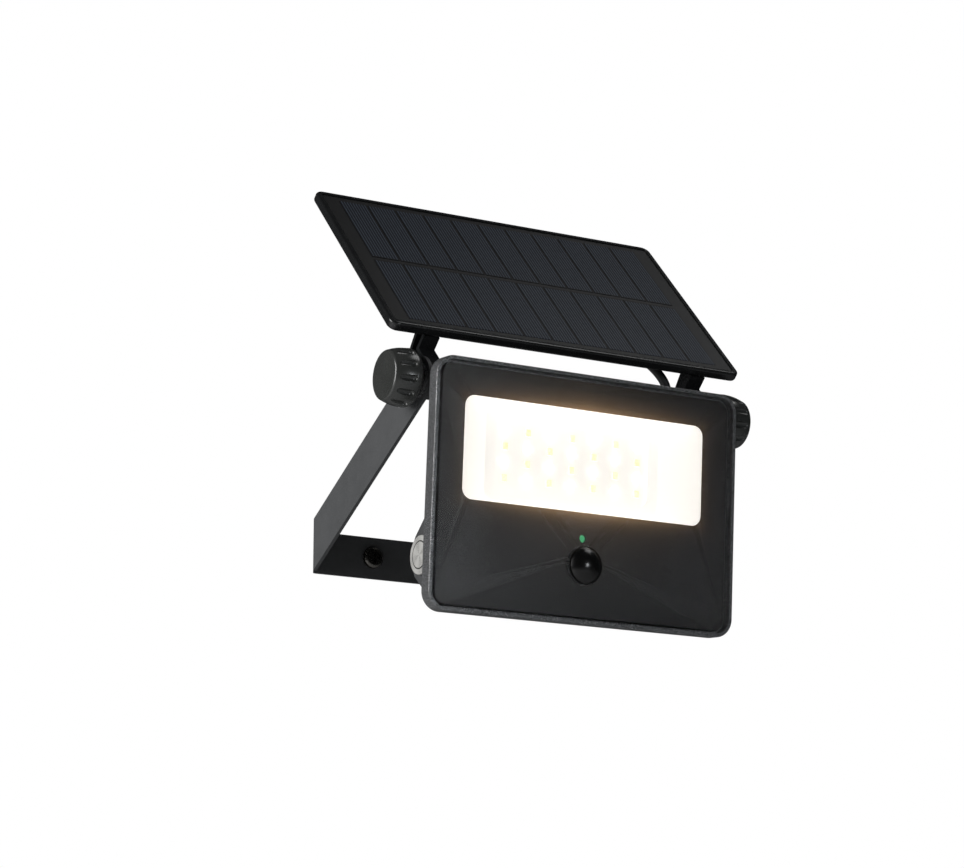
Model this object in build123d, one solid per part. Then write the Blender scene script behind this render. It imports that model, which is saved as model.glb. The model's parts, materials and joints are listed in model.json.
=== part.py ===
from build123d import *
import math
import os

# Solar flood light on a wall bracket, in millimetres.
# X runs along the pivot axis, Y points into the wall, Z is up.
# The origin is the centre of the wall plate's back face.

# ---- where the pivot axis is, and how the two swinging groups stand at rest
PIVOT_Y = -105.2
PIVOT_Z = 62.45
HEAD_TILT = 4.17
PANEL_TILT = 46.8

# ---- the pivot stack along X, measured from the middle outwards
LUG_FACE_X = 68.8
PANEL_ARM_INNER_X = 69.2
PANEL_ARM_OUTER_X = 77.4
BRACKET_INNER_X = 77.8
BRACKET_OUTER_X = 79.6
KNOB_SEAT_X = 80.8
KNOB_END_X = 97.2
KNOB_BACK_X = 82.8
KNOB_WIDEST_X = 86.8
KNOB_R = 13.6
KNOB_FACE_R = 10.7
KNOB_HUB_R = 8.0
FLUTE_COUNT = 12
FLUTE_R = 1.7
FLUTE_CENTRE_R = 13.6
FLUTE_ENDS_X = (88.3, 94.2)
STUD_END_X = 92.0
STUD_R = 3.0
PIVOT_HOLE_R = 3.3
RUNNING_GAP = 0.05

# ---- wall bracket
SHEET = 1.8
PLATE_HEIGHT = 20.2
ARM_WIDTH = 22.0
ARM_END_R = 11.0
ARM_FOOT_Z = 2.5
WALL_SCREW_SPACING = 95.0
WALL_SCREW_R = 2.4
WALL_NECK_R = 2.0
WALL_SCREW_LENGTH = 30.0
WALL_HOLE_R = 2.75

# ---- lamp head, in its own frame: the pivot is the origin and the glass faces -Y
HEAD_WIDTH = 163.0
HEAD_HEIGHT = 115.6
HEAD_MIDDLE_Z = -48.7
FACE_Y = -21.5
FRAME_DEPTH = 7.4
FRAME_CORNER_R = 9.0
FRAME_WALL = 1.65
LEDGE_DEPTH = 4.6
GLASS_RECESS = 0.4
GLASS_THICKNESS = 3.0
GLASS_GAP = 1.3
PRINT_THICKNESS = 0.15
WINDOW_WIDTH = 129.2
WINDOW_HEIGHT = 47.6
WINDOW_Z = -31.0
WINDOW_CORNER_R = 5.0
SENSOR_Z = -79.5
SENSOR_HOLE_R = 8.8
SENSOR_LENS_R = 8.4
SENSOR_FLANGE_R = 9.8
SENSOR_DOME_HEIGHT = 4.2
INDICATOR_Z = -66.8
INDICATOR_R = 1.9
SEAL_THICKNESS = 0.6
COVER_FLANGE = 2.0
COVER_WIDTH = 154.0
COVER_HEIGHT = 106.6
SHELL_SIDE_X = 67.5
SHELL_TOP_Z = -4.0
SHELL_BOTTOM_Z = -93.5
SHELL_BACK_Y = 3.5
SHELL_WALL = 2.0
LUG_R = 9.0
BULGE_SIDE_X = 75.0
COVER_SCREW_SPOTS = [
    (-72.4, -20.0), (72.4, -20.0),
    (-72.4, -42.0), (72.4, -42.0),
    (-25.0, 0.9), (25.0, 0.9),
    (-50.0, -99.0), (50.0, -99.0),
]

# ---- light source
BOARD_FACE_Y = -5.7
BOARD_THICKNESS = 1.6
BOARD_Z = -30.0
SPREADER_THICKNESS = 2.0
REFLECTOR_GAP = 0.25
LED_PITCH_X = 12.0
LED_PITCH_Z = 7.4
LED_WIDTH = 2.8
LED_HEIGHT = 3.5
LED_ROWS = 4
LED_COLUMNS = 7
LED_SCREW_SPOTS = [(-52.0, -48.0), (52.0, -48.0), (-52.0, -12.0), (52.0, -12.0)]

# ---- electronics behind the printed border
SENSOR_BOARD_Y = -12.4
CONTROL_BOARD_Y = -9.0
CIRCUIT_THICKNESS = 1.6
SENSOR_POST_SPOTS = [(-7.4, -63.2), (7.4, -63.2), (-7.4, -87.0), (7.4, -87.0)]
CONTROL_POST_SPOTS = [(-47.0, -63.0), (-16.0, -63.0), (-47.0, -86.5), (-16.0, -86.5)]
CELL_R = 7.1
CELL_LENGTH = 50.5
CELL_START_X = 12.5
CELL_Y = -7.4
CELL_ZS = (-83.4, -68.8)
HOLDER_ZS = (-90.2, -61.0)

# ---- push button on the left end of the bulge
BUTTON_Y = -2.8
BUTTON_Z = -80.1
BUTTON_FLANGE_R = 9.0
BUTTON_BARREL_R = 7.95
BUTTON_BORE_R = 6.3
BUTTON_CAP_R = 6.2

# ---- solar panel, in its own frame: the pivot is the origin and +Z is the panel's normal
PANEL_WIDTH = 192.0
PANEL_DEPTH = 117.4
PANEL_THICKNESS = 4.9
PANEL_FRONT_Y = 13.5
PANEL_BOTTOM_Z = 15.25
PANEL_CORNER_R = 4.5
PANEL_RIM = 2.8
LAMINATE_BOTTOM = 3.05
LAMINATE_THICKNESS = 1.2
CELL_THICKNESS = 0.2
CELL_COLUMNS = 11
CELL_PITCH = 15.45
CELL_WIDTH = 14.75
CELL_LONG = 50.6
CELL_ROW_PITCH = 53.2
PANEL_ARM_EYE_R = 8.5
PANEL_ARM_WALL = 2.0
FOOT_THICKNESS = 3.0
FOOT_SCREW_YS = (30.0, 44.0)
BOX_X = 30.0
BOX_FRONT_Y = 32.0
BOX_BACK_Y = 60.0
BOX_HEIGHT = 8.6

# ---- cable: its radius, and the corners of its centre line measured from the pivot
CABLE_R = 2.25
CABLE_BORE_R = 2.4
CABLE_ROUTE = [
    (28.0, 17.45, 34.37),
    (43.5, 17.45, 34.37),
    (57.8, 16.0, 29.4),
    (68.0, 14.3, 17.0),
    (63.0, 15.3, -0.79),
    (63.0, 16.32, -14.85),
]
GLAND_X = 63.0
GLAND_Y = 15.2
BOSS_TOP_Z = -15.5


# ---------------------------------------------------------------- helpers

def pivot_place(shape):
    return Pos(0, PIVOT_Y, PIVOT_Z) * shape


def head_place(shape):
    return pivot_place(Rot(HEAD_TILT, 0, 0) * shape)


def panel_place(shape):
    return pivot_place(Rot(PANEL_TILT, 0, 0) * shape)


def mirrored(shape):
    return mirror(shape, about=Plane.YZ)


def on_side(shape, side):
    return shape if side > 0 else mirrored(shape)


def rod_x(radius, x_from, x_to, y=0.0, z=0.0):
    """A cylinder along X between two X positions."""
    return Pos((x_from + x_to) / 2, y, z) * Rot(0, 90, 0) * Cylinder(radius, abs(x_to - x_from))


def rod_y(radius, y_from, y_to, x=0.0, z=0.0):
    """A cylinder along Y between two Y positions."""
    return Pos(x, (y_from + y_to) / 2, z) * Rot(90, 0, 0) * Cylinder(radius, abs(y_to - y_from))


def rod_z(radius, z_from, z_to, x=0.0, y=0.0):
    """A cylinder along Z between two Z positions."""
    return Pos(x, y, (z_from + z_to) / 2) * Cylinder(radius, abs(z_to - z_from))


def ring_x(outer_r, inner_r, x_from, x_to, y=0.0, z=0.0):
    """A washer-shaped ring about X."""
    hole = rod_x(inner_r, min(x_from, x_to) - 1, max(x_from, x_to) + 1, y, z)
    return rod_x(outer_r, x_from, x_to, y, z) - hole


def slab_y(width, height, corner, y_from, y_to, z=0.0):
    """A rounded rectangle in the XZ plane, thickened along Y."""
    solid = extrude(RectangleRounded(width, height, corner), amount=y_to - y_from)
    return Pos(0, y_to, z) * Rot(90, 0, 0) * solid


def slab_z(width, depth, corner, z_from, z_to, y=0.0):
    """A rounded rectangle in the XY plane, thickened along Z."""
    return Pos(0, y, z_from) * extrude(RectangleRounded(width, depth, corner), amount=z_to - z_from)


def block(x_from, x_to, y_from, y_to, z_from, z_to):
    """A box given by its faces."""
    centre = ((x_from + x_to) / 2, (y_from + y_to) / 2, (z_from + z_to) / 2)
    return Pos(*centre) * Box(x_to - x_from, y_to - y_from, z_to - z_from)


def side_profile(points, x_from, x_to):
    """A closed outline of (y, z) points, thickened along X."""
    outline = Plane.YZ * make_face(Polyline(*points, close=True))
    return Pos(x_from, 0, 0) * extrude(outline, amount=x_to - x_from)


def turned_x(points):
    """A solid of revolution about X from (x, radius) points."""
    return revolve(make_face(Polyline(*points, close=True)), axis=Axis.X)


def turned_z(points, x=0.0, y=0.0):
    """A solid of revolution about Z from (radius, z) points."""
    outline = Plane.XZ * make_face(Polyline(*points, close=True))
    return Pos(x, y, 0) * revolve(outline, axis=Axis.Z)


def funnel_y(front, back):
    """A solid between two rounded rectangles, each given as (width, height, corner, y, z)."""
    sections = []
    for width, height, corner, y, z in (front, back):
        plane = Plane(origin=(0, y, z), x_dir=(1, 0, 0), z_dir=(0, -1, 0))
        sections.append(plane * RectangleRounded(width, height, corner))
    return loft(sections)


def screw_down(head_r, head_height, shank_r, shank_length):
    """A pan-head cross screw: the head stands on Z = 0 and the shank points down."""
    head = extrude(Circle(head_r), amount=head_height)
    head = fillet(head.edges().group_by(Axis.Z)[-1], head_height * 0.62)
    bar = Box(head_r * 1.05, head_r * 0.24, head_height)
    recess = bar + Rot(0, 0, 90) * bar
    head -= Pos(0, 0, head_height) * recess
    shank = rod_z(shank_r, -shank_length, 0)
    shank = chamfer(shank.edges().group_by(Axis.Z)[0], shank_r * 0.4)
    return head + shank


# ---------------------------------------------------------------- wall bracket

def bracket_arm_outline():
    """The slanted arm seen from the side, as (y, z) points."""
    slope = math.atan2(PIVOT_Z - ARM_FOOT_Z, -PIVOT_Y)
    half = ARM_WIDTH / 2
    wall_half = half / math.cos(slope)
    shift_y = math.sin(slope) * half
    shift_z = math.cos(slope) * half
    return [
        (PIVOT_Y + shift_y, PIVOT_Z + shift_z),
        (0, ARM_FOOT_Z + wall_half),
        (0, ARM_FOOT_Z - wall_half),
        (PIVOT_Y - shift_y, PIVOT_Z - shift_z),
    ]


def fold_edges(bracket, x, y):
    """The upright edges of the two folds at this distance from the middle."""
    return [
        e for e in bracket.edges().filter_by(Axis.Z)
        if abs(abs(e.center().X) - x) < 0.01 and abs(e.center().Y - y) < 0.01
    ]


def wall_bracket():
    arm = side_profile(bracket_arm_outline(), BRACKET_INNER_X, BRACKET_OUTER_X)
    arm += rod_x(ARM_END_R, BRACKET_INNER_X, BRACKET_OUTER_X, PIVOT_Y, PIVOT_Z)
    arm -= rod_x(PIVOT_HOLE_R, BRACKET_INNER_X - 1, BRACKET_OUTER_X + 1, PIVOT_Y, PIVOT_Z)
    half = PLATE_HEIGHT / 2
    plate = block(-BRACKET_OUTER_X, BRACKET_OUTER_X, -SHEET, 0, -half, half)
    for side in (-1, 1):
        plate -= rod_y(WALL_HOLE_R, -SHEET - 1, 1, side * WALL_SCREW_SPACING / 2)
    bracket = plate + arm + mirrored(arm)
    bracket = fillet(fold_edges(bracket, BRACKET_OUTER_X, 0), SHEET * 1.4)
    return fillet(fold_edges(bracket, BRACKET_INNER_X, -SHEET), 0.8)


def wall_screws():
    """Two screws with a thinner neck through the plate and the full thread behind it."""
    screw = Pos(0, -SHEET, 0) * Rot(90, 0, 0) * screw_down(5.2, 2.9, WALL_NECK_R, SHEET + 2)
    thread = rod_y(WALL_SCREW_R, 0, WALL_SCREW_LENGTH)
    screw += chamfer(thread.edges().group_by(Axis.Y)[-1], 1.0)
    return [Pos(side * WALL_SCREW_SPACING / 2, 0, 0) * screw for side in (-1, 1)]


# ---------------------------------------------------------------- pivot stack

def outer_friction_washers():
    ring = pivot_place(ring_x(8.0, PIVOT_HOLE_R, PANEL_ARM_OUTER_X, BRACKET_INNER_X))
    return [ring, mirrored(ring)]


def inner_friction_washers():
    ring = pivot_place(ring_x(8.0, PIVOT_HOLE_R, LUG_FACE_X, PANEL_ARM_INNER_X))
    return [ring, mirrored(ring)]


def knob_washer(side):
    return on_side(pivot_place(ring_x(8.8, 3.2, BRACKET_OUTER_X, KNOB_SEAT_X)), side)


def knob(side):
    """A barrel-shaped knob with rounded grooves, and a hub that bears on the washer."""
    outline = Polyline(
        (KNOB_BACK_X, 11.0), (KNOB_BACK_X, KNOB_HUB_R), (KNOB_SEAT_X, KNOB_HUB_R), (KNOB_SEAT_X, 0),
        (KNOB_END_X, 0), (KNOB_END_X, KNOB_FACE_R),
    )
    outline += ThreePointArc((KNOB_END_X, KNOB_FACE_R), (96.85, 11.35), (96.0, 11.8))
    outline += ThreePointArc((96.0, 11.8), (91.6, 13.1), (KNOB_WIDEST_X, KNOB_R))
    outline += ThreePointArc((KNOB_WIDEST_X, KNOB_R), (84.0, 12.8), (KNOB_BACK_X, 11.0))
    body = revolve(make_face(outline), axis=Axis.X)
    flute = rod_x(FLUTE_R, *FLUTE_ENDS_X, 0, FLUTE_CENTRE_R)
    for x in FLUTE_ENDS_X:
        flute += Pos(x, 0, FLUTE_CENTRE_R) * Sphere(FLUTE_R)
    for index in range(FLUTE_COUNT):
        body -= Rot(360 / FLUTE_COUNT * (index + 0.5), 0, 0) * flute
    body -= rod_x(STUD_R, KNOB_SEAT_X - 1, STUD_END_X)
    return on_side(pivot_place(body), side)


def knob_stud(side):
    stud = rod_x(STUD_R, 57.5, STUD_END_X)
    stud = chamfer(stud.edges().group_by(Axis.X)[0], 0.8)
    return on_side(pivot_place(stud), side)


def pivot_inserts():
    insert = head_place(ring_x(4.2, STUD_R + RUNNING_GAP, 55.0, LUG_FACE_X))
    return [insert, mirrored(insert)]


# ---------------------------------------------------------------- head: frame and glass

def front_frame():
    back_y = FACE_Y + FRAME_DEPTH
    inner_width = HEAD_WIDTH - 2 * FRAME_WALL
    inner_height = HEAD_HEIGHT - 2 * FRAME_WALL
    inner_corner = FRAME_CORNER_R - FRAME_WALL
    frame = slab_y(HEAD_WIDTH, HEAD_HEIGHT, FRAME_CORNER_R, FACE_Y, back_y, HEAD_MIDDLE_Z)
    frame = fillet(frame.edges().group_by(Axis.Y)[0], 0.5)
    frame = fillet(frame.edges().group_by(Axis.Y)[-1], 0.8)
    frame -= slab_y(inner_width, inner_height, inner_corner, FACE_Y - 1, FACE_Y + LEDGE_DEPTH, HEAD_MIDDLE_Z)
    frame -= slab_y(139, 96, 4, FACE_Y, back_y + 1, HEAD_MIDDLE_Z)
    seal_y = back_y - SEAL_THICKNESS
    frame -= slab_y(COVER_WIDTH + 0.4, COVER_HEIGHT + 0.4, 4.9, seal_y, back_y + 1, HEAD_MIDDLE_Z)
    for x, z in COVER_SCREW_SPOTS:
        frame -= rod_y(1.25, FACE_Y + LEDGE_DEPTH + 0.4, back_y + 1, x, z)
    return head_place(frame)


def glass_size():
    """Width, height and corner radius of the glass."""
    trim = FRAME_WALL + GLASS_GAP
    return HEAD_WIDTH - 2 * trim, HEAD_HEIGHT - 2 * trim, FRAME_CORNER_R - trim


def glass_cover():
    width, height, corner = glass_size()
    front = FACE_Y + GLASS_RECESS
    back = front + GLASS_THICKNESS
    glass = slab_y(width, height, corner, front, back, HEAD_MIDDLE_Z)
    glass = chamfer(glass.edges().group_by(Axis.Y)[0], 0.4)
    glass -= rod_y(SENSOR_HOLE_R, front - 1, back + 1, 0, SENSOR_Z)
    return head_place(glass)


def glass_border_print():
    width, height, corner = glass_size()
    start = FACE_Y + GLASS_RECESS + GLASS_THICKNESS
    end = start + PRINT_THICKNESS
    layer = slab_y(width, height, corner, start, end, HEAD_MIDDLE_Z)
    layer -= slab_y(WINDOW_WIDTH, WINDOW_HEIGHT, WINDOW_CORNER_R, start - 1, end + 1, WINDOW_Z)
    layer -= rod_y(SENSOR_HOLE_R, start - 1, end + 1, 0, SENSOR_Z)
    layer -= rod_y(INDICATOR_R + 0.05, start - 1, end + 1, 0, INDICATOR_Z)
    return head_place(layer)


def glass_gasket():
    width, height, corner = glass_size()
    start = FACE_Y + GLASS_RECESS + GLASS_THICKNESS + PRINT_THICKNESS
    end = FACE_Y + LEDGE_DEPTH
    ring = slab_y(width, height, corner, start, end, HEAD_MIDDLE_Z)
    ring -= slab_y(width - 9, height - 9, 2.5, start - 1, end + 1, HEAD_MIDDLE_Z)
    return head_place(ring)


# ---------------------------------------------------------------- head: rear cover

def cover_front_y():
    return FACE_Y + FRAME_DEPTH


def cover_seal():
    end = cover_front_y()
    start = end - SEAL_THICKNESS
    ring = slab_y(COVER_WIDTH, COVER_HEIGHT, 4.7, start, end, HEAD_MIDDLE_Z)
    ring -= slab_y(139.4, 96.4, 4, start - 1, end + 1, HEAD_MIDDLE_Z)
    for x, z in COVER_SCREW_SPOTS:
        ring -= rod_y(1.7, start - 1, end + 1, x, z)
    return head_place(ring)


def bulge(inset, side_x):
    """The battery and switch bulge along the lower back, drawn smaller by the inset."""
    outline = make_face(Polyline(
        (-12.2, -54.0), (5.0, -71.2), (7.4, -76.0), (7.4, -83.5),
        (4.2, -89.3), (-3.4, -95.0), (-12.2, -95.2), close=True,
    ))
    rounded = [v for v in outline.vertices() if v.X > -5]
    outline = fillet(rounded, 3.5)
    if inset:
        outline = offset(outline, -inset, kind=Kind.INTERSECTION)
    return Pos(-side_x, 0, 0) * extrude(Plane.YZ * outline, amount=2 * side_x)


def cable_boss():
    """The block on the back of the cover that carries the cable gland."""
    outline = [
        (SHELL_BACK_Y - 1, BOSS_TOP_Z),
        (GLAND_Y + 5.4, BOSS_TOP_Z),
        (GLAND_Y + 5.4, BOSS_TOP_Z - 8),
        (SHELL_BACK_Y - 1, BOSS_TOP_Z - 24),
    ]
    boss = side_profile(outline, GLAND_X - 5.2, GLAND_X + 5.2)
    upright = [e for e in boss.edges().filter_by(Axis.Z) if e.center().Y > GLAND_Y]
    return fillet(upright, 3.0)


def rear_cover():
    front_y = cover_front_y()
    flange_back = front_y + COVER_FLANGE
    shell_height = SHELL_TOP_Z - SHELL_BOTTOM_Z
    shell_middle = (SHELL_TOP_Z + SHELL_BOTTOM_Z) / 2
    plate = slab_y(COVER_WIDTH, COVER_HEIGHT, 4.7, front_y, flange_back, HEAD_MIDDLE_Z)
    shell = slab_y(2 * SHELL_SIDE_X, shell_height, 5, front_y, SHELL_BACK_Y, shell_middle)
    shell = fillet(shell.edges().group_by(Axis.Y)[-1], 3.0)
    lug = rod_x(LUG_R, 52.0, LUG_FACE_X) + block(52.0, LUG_FACE_X, -12.6, 0, -LUG_R, LUG_R - 5.5)
    skin = shell + bulge(0, BULGE_SIDE_X)
    cover = plate + skin + lug + mirrored(lug) + cable_boss()

    wall = SHELL_WALL
    room_width = 2 * (SHELL_SIDE_X - wall)
    room_back = SHELL_BACK_Y - wall
    room = slab_y(room_width, shell_height - 2 * wall, 3.5, front_y - 1, room_back, shell_middle)
    room -= rod_x(LUG_R, 50.5, LUG_FACE_X) + rod_x(LUG_R, -LUG_FACE_X, -50.5)
    bulge_room = bulge(wall, BULGE_SIDE_X - wall)
    mouth = block(-room_width / 2, room_width / 2, front_y - 1, -11.0, SHELL_BOTTOM_Z + wall, -58.0)
    cover = cover - room - bulge_room - mouth

    for x, z in LED_SCREW_SPOTS:
        cover += rod_y(3.2, spreader_back_y(), room_back + 0.5, x, z)
        cover -= rod_y(1.25, spreader_back_y() - 1, room_back + 1.0, x, z)
    for x, z in SENSOR_POST_SPOTS:
        cover += rod_y(2.2, SENSOR_BOARD_Y + CIRCUIT_THICKNESS, 10, x, z) & skin
    for x, z in CONTROL_POST_SPOTS:
        cover += rod_y(2.2, CONTROL_BOARD_Y + CIRCUIT_THICKNESS, 10, x, z) & skin
    for side in (-1, 1):
        cover -= rod_x(4.2, side * 54.9, side * (LUG_FACE_X + 1))
    cover -= rod_x(8.1, -BULGE_SIDE_X - 1, -BULGE_SIDE_X + wall + 1, BUTTON_Y, BUTTON_Z)
    cover -= rod_x(9.2, -BULGE_SIDE_X + wall, -63.0, BUTTON_Y, BUTTON_Z)
    for x, z in COVER_SCREW_SPOTS:
        cover -= rod_y(1.7, front_y - 1, flange_back + 1, x, z)
    cover -= rod_z(3.6, BOSS_TOP_Z - 7.5, BOSS_TOP_Z + 1, GLAND_X, GLAND_Y)
    cover -= rod_y(2.4, room_back - 1, GLAND_Y, GLAND_X, BOSS_TOP_Z - 5.0)
    return head_place(cover)


def cover_screws():
    screw = Rot(-90, 0, 0) * screw_down(2.75, 1.9, 1.25, 4.2)
    seat = cover_front_y() + COVER_FLANGE
    return [head_place(Pos(x, seat, z) * screw) for x, z in COVER_SCREW_SPOTS]


# ---------------------------------------------------------------- head: light source

def spreader_back_y():
    return BOARD_FACE_Y + BOARD_THICKNESS + SPREADER_THICKNESS


def reflector():
    """A funnel from the window to the lights, just clear of the print."""
    front_y = FACE_Y + GLASS_RECESS + GLASS_THICKNESS + PRINT_THICKNESS + REFLECTOR_GAP
    floor_y = BOARD_FACE_Y - 1.2
    outer = funnel_y((133, 51, 7.5, front_y, WINDOW_Z), (96, 45, 6, floor_y, BOARD_Z - 0.4))
    inner = funnel_y((131, 49, 6.5, front_y, WINDOW_Z), (94, 43, 5, floor_y, BOARD_Z - 0.4))
    floor = slab_y(96, 45, 6, floor_y, BOARD_FACE_Y, BOARD_Z - 0.4)
    opening = slab_y(82.6, 33.4, 4, floor_y - 1, BOARD_FACE_Y + 1, BOARD_Z)
    return head_place(outer - inner + floor - opening)


def led_board():
    back = BOARD_FACE_Y + BOARD_THICKNESS
    board = slab_y(110, 43, 2, BOARD_FACE_Y, back, BOARD_Z)
    for x, z in LED_SCREW_SPOTS:
        board -= rod_y(1.4, BOARD_FACE_Y - 1, back + 1, x, z)
    return head_place(board)


def heat_spreader():
    front = BOARD_FACE_Y + BOARD_THICKNESS
    plate = slab_y(110, 41, 2, front, spreader_back_y(), BOARD_Z)
    for x, z in LED_SCREW_SPOTS:
        plate -= rod_y(1.4, front - 1, spreader_back_y() + 1, x, z)
    return head_place(plate)


def led_board_screws():
    screw = Rot(90, 0, 0) * screw_down(2.4, 1.6, 1.25, 6.4)
    return [head_place(Pos(x, BOARD_FACE_Y, z) * screw) for x, z in LED_SCREW_SPOTS]


def led_bank(first):
    """Every second light of the grid, like one colour of a chessboard."""
    lights = []
    for row in range(LED_ROWS):
        for column in range(LED_COLUMNS):
            if (row + column) % 2 != first:
                continue
            x = (column - (LED_COLUMNS - 1) / 2) * LED_PITCH_X
            z = BOARD_Z - (row - (LED_ROWS - 1) / 2) * LED_PITCH_Z
            half_x = LED_WIDTH / 2
            half_z = LED_HEIGHT / 2
            light = block(x - half_x, x + half_x, BOARD_FACE_Y - 0.8, BOARD_FACE_Y, z - half_z, z + half_z)
            light = chamfer(light.edges().group_by(Axis.Y)[0], 0.2)
            lights.append(head_place(light))
    return lights


# ---------------------------------------------------------------- head: sensor and electronics

def domed_plug(radius, dome_height, front_y, back_y):
    """A round plug along Y with a spherical cap standing out from its front end."""
    ball_r = (radius ** 2 + dome_height ** 2) / (2 * dome_height)
    ball = Pos(0, front_y - dome_height + ball_r, SENSOR_Z) * Sphere(ball_r)
    return ball & rod_y(radius, front_y - dome_height - 1, back_y, 0, SENSOR_Z)


def pir_lens():
    """A domed lens through the glass, with a flange behind it and a hollow back."""
    flange_y = FACE_Y + GLASS_RECESS + GLASS_THICKNESS + PRINT_THICKNESS
    collar_y = FACE_Y - 0.4
    lens = domed_plug(SENSOR_LENS_R, SENSOR_DOME_HEIGHT, collar_y, flange_y + 1)
    lens += rod_y(SENSOR_FLANGE_R, flange_y, flange_y + 1, 0, SENSOR_Z)
    lens -= domed_plug(SENSOR_LENS_R - 1, SENSOR_DOME_HEIGHT - 0.4, collar_y + 0.9, flange_y + 2)
    return head_place(lens)


def pir_sensor():
    can = rod_y(4.1, SENSOR_BOARD_Y - 4.0, SENSOR_BOARD_Y, 0, SENSOR_Z)
    can += rod_y(4.6, SENSOR_BOARD_Y - 0.8, SENSOR_BOARD_Y, 0, SENSOR_Z)
    can -= block(-2, 2, SENSOR_BOARD_Y - 4.5, SENSOR_BOARD_Y - 3.7, SENSOR_Z - 1.5, SENSOR_Z + 1.5)
    return head_place(can)


def circuit_board(x_from, x_to, face_y, z_from, z_to):
    board = block(x_from, x_to, face_y, face_y + CIRCUIT_THICKNESS, z_from, z_to)
    return fillet(board.edges().filter_by(Axis.Y), 1.0)


def sensor_board():
    return head_place(circuit_board(-10, 10, SENSOR_BOARD_Y, -90, -60.5))


def control_board():
    return head_place(circuit_board(-50, -12.5, CONTROL_BOARD_Y, -90.5, -60))


def indicator_led():
    shoulder_y = SENSOR_BOARD_Y - 3.4
    body = rod_y(INDICATOR_R, shoulder_y, SENSOR_BOARD_Y, 0, INDICATOR_Z)
    body += Pos(0, shoulder_y, INDICATOR_Z) * Sphere(INDICATOR_R)
    return head_place(body)


def board_capacitor():
    can = rod_y(4.0, CONTROL_BOARD_Y - 7.0, CONTROL_BOARD_Y, -42.5, -71.0)
    return head_place(fillet(can.edges().group_by(Axis.Y)[0], 0.6))


def board_inductor():
    coil = block(-36.5, -29.5, CONTROL_BOARD_Y - 4.0, CONTROL_BOARD_Y, -74.5, -67.5)
    coil = chamfer(coil.edges().filter_by(Axis.Y), 1.2)
    return head_place(coil - rod_y(2.4, CONTROL_BOARD_Y - 5, CONTROL_BOARD_Y - 3.4, -33.0, -71.0))


def board_chips():
    sensor_back_y = SENSOR_BOARD_Y + CIRCUIT_THICKNESS
    chips = [
        block(-25.5, -19.5, CONTROL_BOARD_Y - 1.5, CONTROL_BOARD_Y, -73.0, -68.0),
        block(-37.5, -33.0, CONTROL_BOARD_Y - 1.2, CONTROL_BOARD_Y, -83.0, -79.0),
        block(-4.0, 4.0, sensor_back_y, sensor_back_y + 1.5, -72.0, -68.0),
    ]
    return [head_place(c) for c in chips]


def wire_connectors():
    sockets = []
    for x in (-46.0, -24.0):
        socket = block(x - 3.5, x + 3.5, CONTROL_BOARD_Y - 5.5, CONTROL_BOARD_Y, -89.8, -85.0)
        socket -= block(x - 2.7, x + 2.7, CONTROL_BOARD_Y - 6, CONTROL_BOARD_Y - 1, -89.2, -85.6)
        sockets.append(head_place(socket))
    return sockets


def battery_cells():
    cells = []
    for z in CELL_ZS:
        cell = rod_x(CELL_R, CELL_START_X, CELL_START_X + CELL_LENGTH, CELL_Y, z)
        cell = fillet(cell.edges().filter_by(GeomType.CIRCLE), 0.8)
        cells.append(head_place(cell))
    return cells


def battery_holder():
    """A tray with a half-round trough for each cell and a taller plate at both ends."""
    end = 1.6
    cells_end_x = CELL_START_X + CELL_LENGTH
    back = SHELL_BACK_Y - SHELL_WALL
    holder = block(CELL_START_X, cells_end_x, CELL_Y, back, *HOLDER_ZS)
    for z in CELL_ZS:
        holder -= rod_x(CELL_R + 0.1, CELL_START_X - 1, cells_end_x + 1, CELL_Y, z)
    holder += block(CELL_START_X - end, CELL_START_X, CELL_Y - 5, back, *HOLDER_ZS)
    holder += block(cells_end_x, cells_end_x + end, CELL_Y - 5, back, *HOLDER_ZS)
    return head_place(holder)


# ---------------------------------------------------------------- head: push button

def button_body():
    outer = -BULGE_SIDE_X - 1.8
    seat = -BULGE_SIDE_X - 0.5
    body = rod_x(BUTTON_FLANGE_R, outer, seat, BUTTON_Y, BUTTON_Z)
    body = fillet(body.edges().filter_by(GeomType.CIRCLE).group_by(Axis.X)[0], 0.6)
    body += rod_x(BUTTON_BARREL_R, seat, -54.0, BUTTON_Y, BUTTON_Z)
    body -= rod_x(BUTTON_BORE_R, outer - 1, -71.0, BUTTON_Y, BUTTON_Z)
    return head_place(body)


def button_cap():
    face = -BULGE_SIDE_X - 1.9
    cap = rod_x(BUTTON_CAP_R, face, -72.4, BUTTON_Y, BUTTON_Z)
    cap = fillet(cap.edges().filter_by(GeomType.CIRCLE).group_by(Axis.X)[0], 0.35)
    return head_place(cap)


def button_seal():
    return head_place(ring_x(8.9, 8.1, -BULGE_SIDE_X - 0.5, -BULGE_SIDE_X, BUTTON_Y, BUTTON_Z))


def button_nut():
    start = -BULGE_SIDE_X + SHELL_WALL
    nut = ring_x(9.0, BUTTON_BARREL_R, start, start + 3.2, BUTTON_Y, BUTTON_Z)
    for index in range(6):
        nut -= Pos(0, BUTTON_Y, BUTTON_Z) * Rot(60 * index, 0, 0) * block(start - 1, start + 5, -1, 1, 8.6, 10)
    return head_place(nut)


def button_terminals():
    pins = []
    for y, z in ((-3.4, -3.4), (-3.4, 3.4), (3.4, -3.4), (3.4, 3.4)):
        pin = Pos(-51.75, BUTTON_Y + y, BUTTON_Z + z) * Box(4.5, 0.6, 2.4)
        pins.append(head_place(pin))
    return pins


# ---------------------------------------------------------------- head: cable gland

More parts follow.
